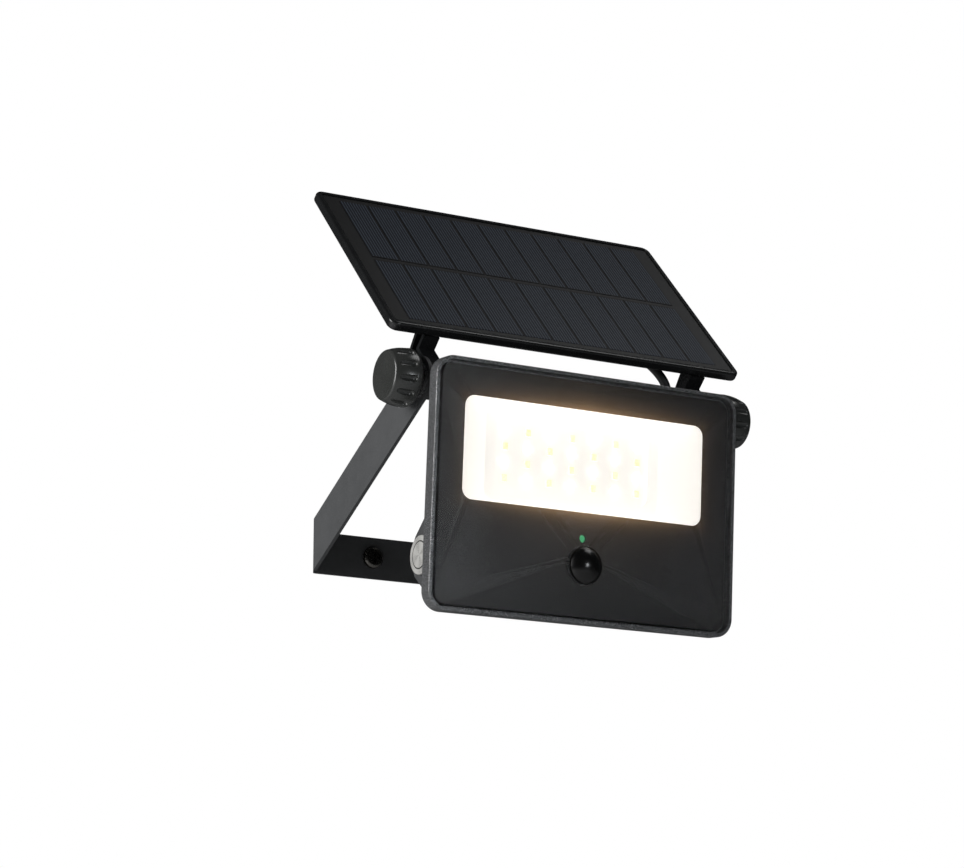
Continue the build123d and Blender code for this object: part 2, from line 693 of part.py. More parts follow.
def cable_gland_body():
    spigot = rod_z(3.6, BOSS_TOP_Z - 7.0, BOSS_TOP_Z, GLAND_X, GLAND_Y)
    hexagon = Rot(0, 0, 30) * RegularPolygon(5.0, 6, major_radius=False)
    collar = Pos(GLAND_X, GLAND_Y, BOSS_TOP_Z) * extrude(hexagon, amount=3.4)
    body = spigot + collar - rod_z(CABLE_BORE_R, BOSS_TOP_Z - 8, BOSS_TOP_Z + 4, GLAND_X, GLAND_Y)
    return head_place(body)


def cable_gland_nut():
    base = BOSS_TOP_Z + 3.4
    nut = turned_z([
        (0, base), (4.9, base), (4.9, base + 3.2), (4.5, base + 4.2), (3.2, base + 5.3), (0, base + 5.3),
    ], GLAND_X, GLAND_Y)
    return head_place(nut - rod_z(CABLE_BORE_R, base - 1, base + 6, GLAND_X, GLAND_Y))


# ---------------------------------------------------------------- solar panel

def panel_middle_y():
    return PANEL_FRONT_Y + PANEL_DEPTH / 2


def panel_tray():
    middle = panel_middle_y()
    bottom = PANEL_BOTTOM_Z
    top = bottom + PANEL_THICKNESS
    shelf = bottom + LAMINATE_BOTTOM
    tray = slab_z(PANEL_WIDTH, PANEL_DEPTH, PANEL_CORNER_R, bottom, top, middle)
    tray = fillet(tray.edges().group_by(Axis.Z)[-1], 1.3)
    tray = fillet(tray.edges().group_by(Axis.Z)[0], 1.6)
    inner_width = PANEL_WIDTH - 2 * PANEL_RIM
    inner_depth = PANEL_DEPTH - 2 * PANEL_RIM
    tray -= slab_z(inner_width, inner_depth, 2, shelf, top + 1, middle)
    room = slab_z(inner_width - 5, inner_depth - 5, 2, bottom + 1.7, shelf + 1, middle)
    for x in (-1, 1):
        for y in FOOT_SCREW_YS:
            room -= rod_z(3.0, bottom, shelf + 2, x * arm_middle_x(), y)
    tray -= room
    for x in (-1, 1):
        for y in FOOT_SCREW_YS:
            tray -= rod_z(1.25, bottom - 1, shelf - 0.4, x * arm_middle_x(), y)
    tray -= rod_z(3.5, bottom - 1, shelf, 0, 46)
    return panel_place(tray)


def arm_middle_x():
    return (PANEL_ARM_INNER_X + PANEL_ARM_OUTER_X) / 2


def solar_laminate():
    bottom = PANEL_BOTTOM_Z + LAMINATE_BOTTOM
    width = PANEL_WIDTH - 2 * PANEL_RIM - 0.3
    depth = PANEL_DEPTH - 2 * PANEL_RIM - 0.3
    return panel_place(slab_z(width, depth, 1.9, bottom, bottom + LAMINATE_THICKNESS, panel_middle_y()))


def solar_cells():
    bottom = PANEL_BOTTOM_Z + LAMINATE_BOTTOM + LAMINATE_THICKNESS
    cells = []
    for row in (-0.5, 0.5):
        y = panel_middle_y() + row * CELL_ROW_PITCH
        for column in range(CELL_COLUMNS):
            x = (column - (CELL_COLUMNS - 1) / 2) * CELL_PITCH
            cell = block(
                x - CELL_WIDTH / 2, x + CELL_WIDTH / 2, y - CELL_LONG / 2, y + CELL_LONG / 2,
                bottom, bottom + CELL_THICKNESS,
            )
            cells.append(panel_place(cell))
    return cells


def arm_outline():
    """The panel arm from the side: the corners behind the eye, as (y, z) points."""
    return [
        (0, PANEL_ARM_EYE_R),
        (13.9, PANEL_ARM_EYE_R),
        (13.9, PANEL_BOTTOM_Z),
        (23.2, PANEL_BOTTOM_Z),
        (21.2, 3.4),
        (17.5, -3.0),
        (2.9, -8.0),
        (0, -PANEL_ARM_EYE_R),
    ]


def panel_arm(side):
    body = side_profile(arm_outline(), PANEL_ARM_INNER_X, PANEL_ARM_OUTER_X)
    body += rod_x(PANEL_ARM_EYE_R, PANEL_ARM_INNER_X, PANEL_ARM_OUTER_X)
    wall = PANEL_ARM_WALL
    pocket = side_profile([
        (13.9 + wall, PANEL_BOTTOM_Z + 1),
        (23.2 - wall, PANEL_BOTTOM_Z + 1),
        (21.2 - wall, 3.6),
        (16.6, -0.6),
        (11.5, -2.2),
        (11.5, PANEL_ARM_EYE_R - wall),
        (13.9 + wall, PANEL_ARM_EYE_R - wall),
    ], PANEL_ARM_INNER_X + wall, PANEL_ARM_OUTER_X + 1)
    body -= pocket
    foot_bottom = PANEL_BOTTOM_Z - FOOT_THICKNESS
    foot = block(PANEL_ARM_INNER_X, PANEL_ARM_OUTER_X, 21.6, 50.0, foot_bottom, PANEL_BOTTOM_Z)
    foot = fillet(foot.edges().filter_by(Axis.Z).group_by(Axis.Y)[-1], 3.0)
    for y in FOOT_SCREW_YS:
        foot -= rod_z(1.6, foot_bottom - 1, PANEL_BOTTOM_Z + 1, arm_middle_x(), y)
    body += foot
    body -= rod_x(PIVOT_HOLE_R, PANEL_ARM_INNER_X - 1, PANEL_ARM_OUTER_X + 1)
    return on_side(panel_place(body), side)


def panel_arm_screws():
    screw = Rot(180, 0, 0) * screw_down(2.75, 1.9, 1.25, 5.3)
    seat = PANEL_BOTTOM_Z - FOOT_THICKNESS
    screws = []
    for side in (-1, 1):
        for y in FOOT_SCREW_YS:
            screws.append(panel_place(Pos(side * arm_middle_x(), y, seat) * screw))
    return screws


def junction_box():
    bottom = PANEL_BOTTOM_Z - BOX_HEIGHT
    middle = (BOX_FRONT_Y + BOX_BACK_Y) / 2
    depth = BOX_BACK_Y - BOX_FRONT_Y
    box = slab_z(2 * BOX_X, depth, 3, bottom, PANEL_BOTTOM_Z, middle)
    box = fillet(box.edges().group_by(Axis.Z)[0], 1.2)
    box -= slab_z(2 * BOX_X - 3.6, depth - 3.6, 1.5, bottom + 1.8, PANEL_BOTTOM_Z + 1, middle)
    return panel_place(box) - cable_hole()


def junction_board():
    top = PANEL_BOTTOM_Z - 0.4
    board = slab_z(30, 14, 1, top - CIRCUIT_THICKNESS, top, 47.0)
    return panel_place(board)


# ---------------------------------------------------------------- cable

def cable_points():
    return [(x, y + PIVOT_Y, z + PIVOT_Z) for x, y, z in CABLE_ROUTE]


def corner_radii(points):
    """A bend at each inner corner that uses 0.45 of the shorter run beside it."""
    radii = []
    for before, corner, after in zip(points, points[1:], points[2:]):
        arriving = Vector(*corner) - Vector(*before)
        leaving = Vector(*after) - Vector(*corner)
        turn = math.radians(arriving.get_angle(leaving))
        shorter = min(arriving.length, leaving.length)
        radii.append(0.45 * shorter / math.tan(turn / 2))
    return radii


def tube_along(points, radius):
    radii = corner_radii(points)
    path = FilletPolyline(*points, radius=radii)
    start = Plane(origin=path @ 0, z_dir=path % 0)
    tube = sweep(start * Circle(radius), path=path)
    return tube, path, radii


def cable():
    tube, path, radii = tube_along(cable_points(), CABLE_R)
    print("cable bend radii", [round(r, 1) for r in radii])
    print("cable length", round(path.length, 1))
    drawn_volume = math.pi * CABLE_R ** 2 * path.length
    print("cable volume over section times length", round(tube.volume / drawn_volume, 4))
    return tube


def cable_hole():
    """Room for the cable where it leaves the junction box."""
    x, y, z = CABLE_ROUTE[0]
    return pivot_place(rod_x(CABLE_R + 1.3, x - 3, x + 8, y, z))


def panel_strain_relief():
    """A tapered sleeve on the cable where it leaves the junction box."""
    x, y, z = CABLE_ROUTE[0]
    sleeve = turned_x([
        (x - 1.5, 0),
        (x - 1.5, CABLE_R + 1.2),
        (BOX_X, CABLE_R + 1.2),
        (BOX_X, 4.2),
        (BOX_X + 2.0, 4.2),
        (BOX_X + 9.0, CABLE_R + 0.7),
        (BOX_X + 9.0, 0),
    ])
    sleeve = Pos(0, y, z) * sleeve - rod_x(CABLE_BORE_R, x - 2, x + 20, y, z)
    return pivot_place(sleeve)


# ---------------------------------------------------------------- output

def solids_of(made):
    """A flat list of solids from one shape or from a list of shapes."""
    shapes = made if isinstance(made, list) else [made]
    return [solid for shape in shapes for solid in shape.solids()]


def build_nodes():
    return {
        "wall_bracket": wall_bracket(),
        "wall_screws": wall_screws(),
        "outer_friction_washers": outer_friction_washers(),
        "inner_friction_washers": inner_friction_washers(),
        "knob_left": knob(-1),
        "knob_right": knob(1),
        "knob_stud_left": knob_stud(-1),
        "knob_stud_right": knob_stud(1),
        "knob_washer_left": knob_washer(-1),
        "knob_washer_right": knob_washer(1),
        "pivot_inserts": pivot_inserts(),
        "front_frame": front_frame(),
        "glass_cover": glass_cover(),
        "glass_border_print": glass_border_print(),
        "glass_gasket": glass_gasket(),
        "cover_seal": cover_seal(),
        "rear_cover": rear_cover(),
        "cover_screws": cover_screws(),
        "reflector": reflector(),
        "led_board": led_board(),
        "leds_lit_bank": led_bank(0),
        "leds_unlit_bank": led_bank(1),
        "heat_spreader": heat_spreader(),
        "led_board_screws": led_board_screws(),
        "pir_lens": pir_lens(),
        "pir_sensor": pir_sensor(),
        "sensor_board": sensor_board(),
        "indicator_led": indicator_led(),
        "control_board": control_board(),
        "board_capacitor": board_capacitor(),
        "board_inductor": board_inductor(),
        "board_chips": board_chips(),
        "wire_connectors": wire_connectors(),
        "battery_cells": battery_cells(),
        "battery_holder": battery_holder(),
        "button_body": button_body(),
        "button_cap": button_cap(),
        "button_seal": button_seal(),
        "button_nut": button_nut(),
        "button_terminals": button_terminals(),
        "cable_gland_body": cable_gland_body(),
        "cable_gland_nut": cable_gland_nut(),
        "panel_tray": panel_tray(),
        "solar_laminate": solar_laminate(),
        "solar_cells": solar_cells(),
        "panel_arm_left": panel_arm(-1),
        "panel_arm_right": panel_arm(1),
        "panel_arm_screws": panel_arm_screws(),
        "junction_box": junction_box(),
        "junction_board": junction_board(),
        "panel_strain_relief": panel_strain_relief(),
        "cable": cable(),
    }


os.makedirs("parts", exist_ok=True)
for name, made in build_nodes().items():
    solids = solids_of(made)
    shape = solids[0] if len(solids) == 1 else Compound(children=solids)
    export_step(shape, "parts/" + name + ".step")
    print(name, len(solids), "solids", round(sum(s.volume for s in solids), 1), "mm3")
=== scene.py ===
import math

import bmesh
import bpy
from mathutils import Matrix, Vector
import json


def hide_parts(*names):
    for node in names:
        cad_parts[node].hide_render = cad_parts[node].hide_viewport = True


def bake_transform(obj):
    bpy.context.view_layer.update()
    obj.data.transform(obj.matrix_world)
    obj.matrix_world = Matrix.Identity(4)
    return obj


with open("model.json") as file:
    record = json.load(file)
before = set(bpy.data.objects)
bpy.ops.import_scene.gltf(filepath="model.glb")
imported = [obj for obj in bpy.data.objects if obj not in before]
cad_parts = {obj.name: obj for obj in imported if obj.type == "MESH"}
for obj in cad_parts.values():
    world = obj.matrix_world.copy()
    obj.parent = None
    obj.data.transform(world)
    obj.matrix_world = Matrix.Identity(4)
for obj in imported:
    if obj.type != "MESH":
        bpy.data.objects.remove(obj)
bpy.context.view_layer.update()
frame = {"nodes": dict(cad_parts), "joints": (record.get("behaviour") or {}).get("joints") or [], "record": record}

MM = 0.001

# The two tilt joints turn about one axis. At rest the head and the panel stand at these angles.
PIVOT = Vector(next(j["pos_m"] for j in frame["joints"] if j["name"] == "head_tilt"))
HEAD_TILT = math.radians(4.17)
PANEL_TILT = math.radians(46.8)

# Places on the upright head that details are lined up with, in millimetres from the pivot.
WINDOW_Z = -31.0
WINDOW_HALF_WIDTH = 64.6
WINDOW_HALF_HEIGHT = 23.8
BOARD_Z = -30.0
LED_PITCH_X = 12.0
LED_PITCH_Z = 7.4
LED_ROWS = 4
LED_COLUMNS = 7
LED_OUTLINE_HALF_WIDTH = 2.1
LED_OUTLINE_HALF_HEIGHT = 2.4
LED_OUTLINE_HALF_LINE = 0.12
COPPER_HALF_GAP = 0.15
BUTTON_Y = -2.8
BUTTON_Z = -80.1
# Where the painted shade of the gap round the button lies.
SHADED_GAP_R = 6.25
SHADED_GAP_HALF_WIDTH = 0.28
WRAP_X = 38.0
WRAP_HALF_LENGTH = 22.0

# Places on the flat panel, in millimetres from the pivot, and shares of one cell.
CELL_PITCH = 15.45
CELLS_TO_START = 20
FINGERS_PER_CELL = 9
FINGERED_SHARE = 0.92
FINGER_HALF_SHARE = 0.13
PANEL_MIDDLE_Y = 72.2
ROW_MARGIN = 2.0

# The painted warm glow on the print, which fades away from the window: (millimetres, strength).
NEAR_PAINTED_GLOW = (2.6, 0.25)
FAR_PAINTED_GLOW = (10.0, 0.045)
GLOW_HALF_WIDTH = 62.0
GLOW_AT_SIDES = 0.12

# Most values of a noise lie between these two.
NOISE_LOW = 0.3
NOISE_HIGH = 0.7

# How sharp an edge has to be to start growing paler, and to be fully pale, as wear and a painted edge highlight.
PALE_EDGE_START = 0.52
PALE_EDGE_FULL = 0.6


# ---------------------------------------------------------------- material building

def shade(colour, factor):
    return tuple(channel * factor for channel in colour)


class Finish:
    """A material made of one principled surface, with short calls for the nodes used here."""

    def __init__(self, name):
        self.material = bpy.data.materials.new(name)
        self.material.use_nodes = True
        self.tree = self.material.node_tree
        self.tree.nodes.clear()
        output = self.tree.nodes.new("ShaderNodeOutputMaterial")
        self.surface = self.tree.nodes.new("ShaderNodeBsdfPrincipled")
        self.join(self.surface.outputs["BSDF"], output.inputs["Surface"])
        self.position = self.tree.nodes.new("ShaderNodeTexCoord").outputs["Object"]

    def join(self, source, target):
        self.tree.links.new(source, target)

    def put(self, socket, value):
        """Links a socket to another one, or gives it a number or a colour."""
        if isinstance(value, bpy.types.NodeSocket):
            self.join(value, socket)
        elif isinstance(value, tuple):
            socket.default_value = (*value, 1)
        else:
            socket.default_value = value

    def set(self, **values):
        for name, value in values.items():
            self.surface.inputs[name.replace("_", " ")].default_value = value

    def feed(self, name, source):
        self.join(source, self.surface.inputs[name])

    def from_pivot(self, tilt):
        """The point's x, y and z from the pivot in millimetres, with the tilt taken out."""
        turn = self.tree.nodes.new("ShaderNodeVectorRotate")
        turn.rotation_type = "X_AXIS"
        turn.inputs["Center"].default_value = PIVOT
        turn.inputs["Angle"].default_value = -tilt
        self.join(self.position, turn.inputs["Vector"])
        shift = self.tree.nodes.new("ShaderNodeVectorMath")
        shift.operation = "SUBTRACT"
        self.join(turn.outputs[0], shift.inputs[0])
        shift.inputs[1].default_value = PIVOT
        scale = self.tree.nodes.new("ShaderNodeVectorMath")
        scale.operation = "SCALE"
        self.join(shift.outputs[0], scale.inputs[0])
        scale.inputs["Scale"].default_value = 1 / MM
        split = self.tree.nodes.new("ShaderNodeSeparateXYZ")
        self.join(scale.outputs[0], split.inputs[0])
        return split.outputs[0], split.outputs[1], split.outputs[2]

    def math(self, operation, *values):
        node = self.tree.nodes.new("ShaderNodeMath")
        node.operation = operation
        for socket, value in zip(node.inputs, values):
            self.put(socket, value)
        return node.outputs[0]

    def distance(self, source, middle):
        """How far a value is from the middle one, either way."""
        return self.math("ABSOLUTE", self.math("SUBTRACT", source, middle))

    def length(self, first, second):
        """The length of the line whose two parts, at right angles, are given."""
        first_squared = self.math("MULTIPLY", first, first)
        second_squared = self.math("MULTIPLY", second, second)
        return self.math("SQRT", self.math("ADD", first_squared, second_squared))

    def noise(self, size_mm, detail, stretch=None):
        """Noise whose features are about this many millimetres across."""
        node = self.tree.nodes.new("ShaderNodeTexNoise")
        node.inputs["Scale"].default_value = 1 / (size_mm * MM)
        node.inputs["Detail"].default_value = detail
        source = self.position
        if stretch:
            mapping = self.tree.nodes.new("ShaderNodeMapping")
            mapping.inputs["Scale"].default_value = stretch
            self.join(source, mapping.inputs["Vector"])
            source = mapping.outputs[0]
        self.join(source, node.inputs["Vector"])
        return node.outputs["Fac"]

    def specks(self, size_mm):
        """A random shade for every cell of a fine grain."""
        node = self.tree.nodes.new("ShaderNodeTexVoronoi")
        node.inputs["Scale"].default_value = 1 / (size_mm * MM)
        self.join(self.position, node.inputs["Vector"])
        split = self.tree.nodes.new("ShaderNodeSeparateColor")
        self.join(node.outputs["Color"], split.inputs[0])
        return split.outputs[0]

    def span(self, source, low, high, from_low=NOISE_LOW, from_high=NOISE_HIGH):
        """Runs from the low to the high number as the source runs between two values."""
        node = self.tree.nodes.new("ShaderNodeMapRange")
        self.join(source, node.inputs["Value"])
        node.inputs["From Min"].default_value = from_low
        node.inputs["From Max"].default_value = from_high
        node.inputs["To Min"].default_value = low
        node.inputs["To Max"].default_value = high
        return node.outputs[0]

    def ramp(self, source, dark, light, from_low=NOISE_LOW, from_high=NOISE_HIGH):
        """Runs from the dark to the light colour as the source runs between two values."""
        node = self.tree.nodes.new("ShaderNodeValToRGB")
        stops = zip(node.color_ramp.elements, (from_low, from_high), (dark, light))
        for element, place, colour in stops:
            element.position = place
            element.color = (*colour, 1)
        self.join(source, node.inputs["Fac"])
        return node.outputs["Color"]

    def tones(self, source, colour, dark, light):
        """One colour, darkened and lightened by these factors."""
        return self.ramp(source, shade(colour, dark), shade(colour, light))

    def mix(self, factor, first, second):
        node = self.tree.nodes.new("ShaderNodeMix")
        node.data_type = "RGBA"
        for name, value in (("Factor", factor), ("A", first), ("B", second)):
            self.put(node.inputs[name], value)
        return node.outputs["Result"]

    def roughen(self, source, low, high):
        self.feed("Roughness", self.span(source, low, high))

    def bump(self, height, depth_mm):
        node = self.tree.nodes.new("ShaderNodeBump")
        node.inputs["Strength"].default_value = 1.0
        node.inputs["Distance"].default_value = depth_mm * MM
        self.join(height, node.inputs["Height"])
        self.join(node.outputs[0], self.surface.inputs["Normal"])

    def worn_and_highlit_edges(self, amount):
        """The given amount along the sharp outer edges, and none elsewhere: edge wear with a painted edge
        highlight.
        """
        node = self.tree.nodes.new("ShaderNodeNewGeometry")
        edges = self.span(node.outputs["Pointiness"], 0.0, 1.0, PALE_EDGE_START, PALE_EDGE_FULL)
        return self.math("MULTIPLY", edges, amount)


# ---------------------------------------------------------------- finishes

def moulded(name, colour, rough, grain_mm=0.35, grain_depth=0.02, edge_paleness=0.25, coat=0.0):
    """Moulded plastic: a fine spark-eroded grain, faint flow clouds and slightly paler edges, partly wear and
    partly a painted edge highlight.
    """
    finish = Finish(name)
    base = finish.tones(finish.noise(size_mm=18, detail=4), colour, dark=0.85, light=1.15)
    # Paler along sharp edges: wear, and a painted edge highlight.
    edge_colour = shade(colour, 2.0)
    finish.feed("Base Color", finish.mix(finish.worn_and_highlit_edges(edge_paleness), base, edge_colour))
    finish.roughen(finish.noise(size_mm=4, detail=5), *rough)
    finish.bump(finish.noise(grain_mm, detail=2), grain_depth)
    finish.set(Coat_Weight=coat, Coat_Roughness=0.15)
    return finish.material


def powder_coat(name, colour, rough):
    """Powder coat: an even orange peel, a little dust in the colour and thin edges, paler as wear and as a painted
    edge highlight.
    """
    finish = Finish(name)
    base = finish.tones(finish.noise(size_mm=30, detail=5), colour, dark=0.88, light=1.12)
    # Paler along sharp edges: wear, and a painted edge highlight.
    edge_colour = shade(colour, 2.2)
    finish.feed("Base Color", finish.mix(finish.worn_and_highlit_edges(0.3), base, edge_colour))
    finish.roughen(finish.noise(size_mm=6, detail=4), *rough)
    finish.bump(finish.noise(size_mm=0.9, detail=2), depth_mm=0.03)
    return finish.material


def sparkle_paint(name, colour, flake, rough):
    """Dark paint over a fine blasted grain, with metal flakes that catch the light."""
    finish = Finish(name)
    grains = finish.specks(size_mm=0.2)
    flakes = finish.span(grains, 0.0, 1.0, from_low=0.6, from_high=0.95)
    base = finish.tones(finish.noise(size_mm=25, detail=4), colour, dark=0.9, light=1.1)
    finish.feed("Base Color", finish.mix(flakes, base, flake))
    finish.feed("Metallic", flakes)
    finish.feed("Roughness", finish.span(grains, *rough, from_low=0.0, from_high=1.0))
    finish.bump(finish.noise(size_mm=0.25, detail=3), depth_mm=0.02)
    return finish.material


def metal(name, colour, rough=(0.25, 0.4), brush=(1, 1, 1)):
    """Plain metal with faint streaks, drawn out along the axes that brush makes smaller."""
    finish = Finish(name)
    streaks = finish.noise(size_mm=2.0, detail=4, stretch=brush)
    finish.feed("Base Color", finish.tones(streaks, colour, dark=0.85, light=1.1))
    finish.roughen(streaks, *rough)
    finish.bump(streaks, depth_mm=0.006)
    finish.set(Metallic=1.0)
    return finish.material


def turned_steel(name, colour):
    """Stainless steel faced on a lathe, with painted highlight fans and a painted shade in the gap between the
    button and its ring.
    """
    rings_per_mm = 30.0
    ring_shade = 0.12
    # How many painted highlight fans go round the button, and how bright the brightest is.
    painted_highlight_fans = 4.0
    brightest_painted_fan = 0.35
    brightest = 0.4
    finish = Finish(name)
    _, y, z = finish.from_pivot(HEAD_TILT)
    across = finish.math("SUBTRACT", y, BUTTON_Y)
    along = finish.math("SUBTRACT", z, BUTTON_Z)
    radius = finish.length(across, along)
    rings = finish.math("SINE", finish.math("MULTIPLY", radius, rings_per_mm))
    # Painted highlight: brighter fans round the button, standing in for the steel's reflections.
    turn = finish.math("ARCTAN2", along, across)
    painted_fans = finish.math("SINE", finish.math("MULTIPLY", turn, painted_highlight_fans))
    painted_sheen = finish.span(painted_fans, 0.0, brightest_painted_fan, from_low=-1, from_high=1)
    both = finish.math("ADD", finish.math("MULTIPLY", rings, ring_shade), painted_sheen)
    plain = finish.ramp(both, shade(colour, 0.86), shade(colour, 1.04), from_low=0.0, from_high=brightest)
    # Painted shade: a dark ring where the gap between the button and its ring lies.
    shaded_gap = finish.math("LESS_THAN", finish.distance(radius, SHADED_GAP_R), SHADED_GAP_HALF_WIDTH)
    gap_shade_colour = shade(colour, 0.07)
    finish.feed("Base Color", finish.mix(shaded_gap, plain, gap_shade_colour))
    finish.feed("Roughness", finish.span(both, 0.26, 0.38, from_low=0.0, from_high=brightest))
    finish.bump(rings, depth_mm=0.002)
    finish.set(Metallic=0.5)
    return finish.material


def solar_cell_finish():
    """Dark blue silicon with thin silver fingers along the panel's depth, and a bare dark margin."""
    margin_colour = (0.004, 0.0043, 0.005)
    silver = (0.11, 0.135, 0.175)
    finish = Finish("solar_silicon")
    x, y, _ = finish.from_pivot(PANEL_TILT)
    cell = finish.math("ADD", finish.math("DIVIDE", x, CELL_PITCH), 0.5 + CELLS_TO_START)
    across = finish.math("SUBTRACT", finish.math("FRACT", cell), 0.5)
    inside_cell = finish.math("LESS_THAN", finish.math("ABSOLUTE", across), FINGERED_SHARE / 2)
    inside_row = finish.math("GREATER_THAN", finish.distance(y, PANEL_MIDDLE_Y), ROW_MARGIN)
    fingered = finish.math("MULTIPLY", inside_cell, inside_row)
    counted = finish.math("MULTIPLY", across, FINGERS_PER_CELL / FINGERED_SHARE)
    between = finish.math("FRACT", finish.math("ADD", counted, FINGERS_PER_CELL / 2))
    line = finish.math("LESS_THAN", finish.distance(between, 0.5), FINGER_HALF_SHARE)
    wafers = finish.noise(size_mm=26, detail=3)
    silicon = finish.ramp(wafers, dark=(0.0038, 0.0062, 0.0125), light=(0.0062, 0.0095, 0.018))
    lined = finish.mix(line, silicon, silver)
    finish.feed("Base Color", finish.mix(fingered, margin_colour, lined))
    finish.roughen(finish.noise(size_mm=3, detail=4), 0.34, 0.46)
    finish.bump(finish.math("MULTIPLY", line, fingered), depth_mm=0.01)
    finish.set(Specular_IOR_Level=0.3, Coat_Weight=0.1, Coat_Roughness=0.25)
    return finish.material


def laminate_finish():
    """Black backing sheet under clear resin, with a faint weave."""
    threads_per_mm = 9.0
    finish = Finish("solar_sheet")
    x, y, _ = finish.from_pivot(PANEL_TILT)
    warp = finish.math("SINE", finish.math("MULTIPLY", x, threads_per_mm))
    weft = finish.math("SINE", finish.math("MULTIPLY", y, threads_per_mm))
    weave = finish.math("MULTIPLY", warp, weft)
    clouds = finish.noise(size_mm=20, detail=4)
    black = finish.ramp(clouds, dark=(0.004, 0.0043, 0.0048), light=(0.0062, 0.0065, 0.0072))
    finish.feed("Base Color", black)
    finish.feed("Roughness", finish.span(weave, 0.36, 0.46, from_low=-1, from_high=1))
    finish.bump(weave, depth_mm=0.004)
    finish.set(Coat_Weight=0.15, Coat_Roughness=0.25)
    return finish.material


def window_distance(finish, x, z):
    """How far outside the window a point of the glass is, in millimetres."""
    over_x = finish.math("SUBTRACT", finish.math("ABSOLUTE", x), WINDOW_HALF_WIDTH)
    over_z = finish.math("SUBTRACT", finish.distance(z, WINDOW_Z), WINDOW_HALF_HEIGHT)
    return finish.length(finish.math("MAXIMUM", over_x, 0.0), finish.math("MAXIMUM", over_z, 0.0))


def fading_painted_glow(finish, distance, reach_and_strength):
    """A painted glow that falls off with the distance."""
    reach, strength = reach_and_strength
    faded = finish.math("POWER", math.e, finish.math("DIVIDE", distance, -reach))
    return finish.math("MULTIPLY", faded, strength)


def print_finish():
    """The black printed border, with a painted warm glow next to the window standing in for the window's light on
    it.
    """
    finish = Finish("glass_print")
    clouds = finish.noise(size_mm=30, detail=3)
    black = finish.ramp(clouds, dark=(0.0085, 0.0085, 0.009), light=(0.0115, 0.0115, 0.012))
    finish.feed("Base Color", black)
    finish.roughen(finish.noise(size_mm=2, detail=4), 0.5, 0.6)
    x, _, z = finish.from_pivot(HEAD_TILT)
    distance = window_distance(finish, x, z)
    # Painted glow: emission that stands in for the window's light falling on the print.
    near = fading_painted_glow(finish, distance, NEAR_PAINTED_GLOW)
    far = fading_painted_glow(finish, distance, FAR_PAINTED_GLOW)
    off_middle = finish.math("ABSOLUTE", x)
    sideways = finish.span(off_middle, 1.0, GLOW_AT_SIDES, from_low=0.0, from_high=GLOW_HALF_WIDTH)
    glow = finish.math("ADD", near, far)
    finish.feed("Emission Strength", finish.math("MULTIPLY", glow, sideways))
    finish.set(Emission_Color=(1.0, 0.6, 0.29, 1.0))
    return finish.material


def clear_glass():
    """Thin clear glass with a satin anti-glare face, faintly smeared by handling."""
    finish = Finish("front_glass")
    smears = finish.noise(size_mm=14, detail=6)
    finish.feed("Roughness", finish.span(smears, 0.0, 0.015, from_high=0.8))
    finish.feed("Base Color", finish.ramp(smears, dark=(0.97, 0.98, 0.98), light=(1.0, 1.0, 1.0)))
    finish.set(Transmission_Weight=1.0, IOR=1.01, Coat_Weight=1.0, Coat_IOR=1.6, Coat_Roughness=0.34)
    return finish.material


def painted_light_from_inside(finish, x, strength, gain):
    """Painted light from within: a glow that stands in for the lights' light, and gains this share from the
    window's middle to its right end.
    """
    side = finish.span(x, 1.0 - gain, 1.0 + gain, from_low=-WINDOW_HALF_WIDTH, from_high=WINDOW_HALF_WIDTH)
    finish.feed("Emission Strength", finish.math("MULTIPLY", side, strength))
    finish.set(Emission_Color=(1.0, 0.95, 0.885, 1.0))


def reflector_finish():
    """Bright white moulding, with a painted glow standing in for the light from inside the window."""
    finish = Finish("reflector_white")
    clouds = finish.noise(size_mm=12, detail=4)
    finish.feed("Base Color", finish.tones(clouds, (0.9, 0.88, 0.86), dark=0.96, light=1.0))
    finish.roughen(clouds, 0.3, 0.5)
    finish.bump(finish.noise(size_mm=0.5, detail=2), depth_mm=0.004)
    x, _, _ = finish.from_pivot(HEAD_TILT)
    # Painted glow standing in for the light inside the window, brighter towards the right.
    painted_light_from_inside(finish, x, strength=0.7, gain=0.06)
    return finish.material


def off_grid(finish, place, middle, pitch, count):
    """How far a coordinate is from the nearest row or column of lights, in millimetres."""
    first = middle - (count - 1) / 2 * pitch - pitch / 2
    steps = finish.math("DIVIDE", finish.math("SUBTRACT", place, first), pitch)
    centred = finish.math("SUBTRACT", finish.math("FRACT", steps), 0.5)
    return finish.math("ABSOLUTE", finish.math("MULTIPLY", centred, pitch))


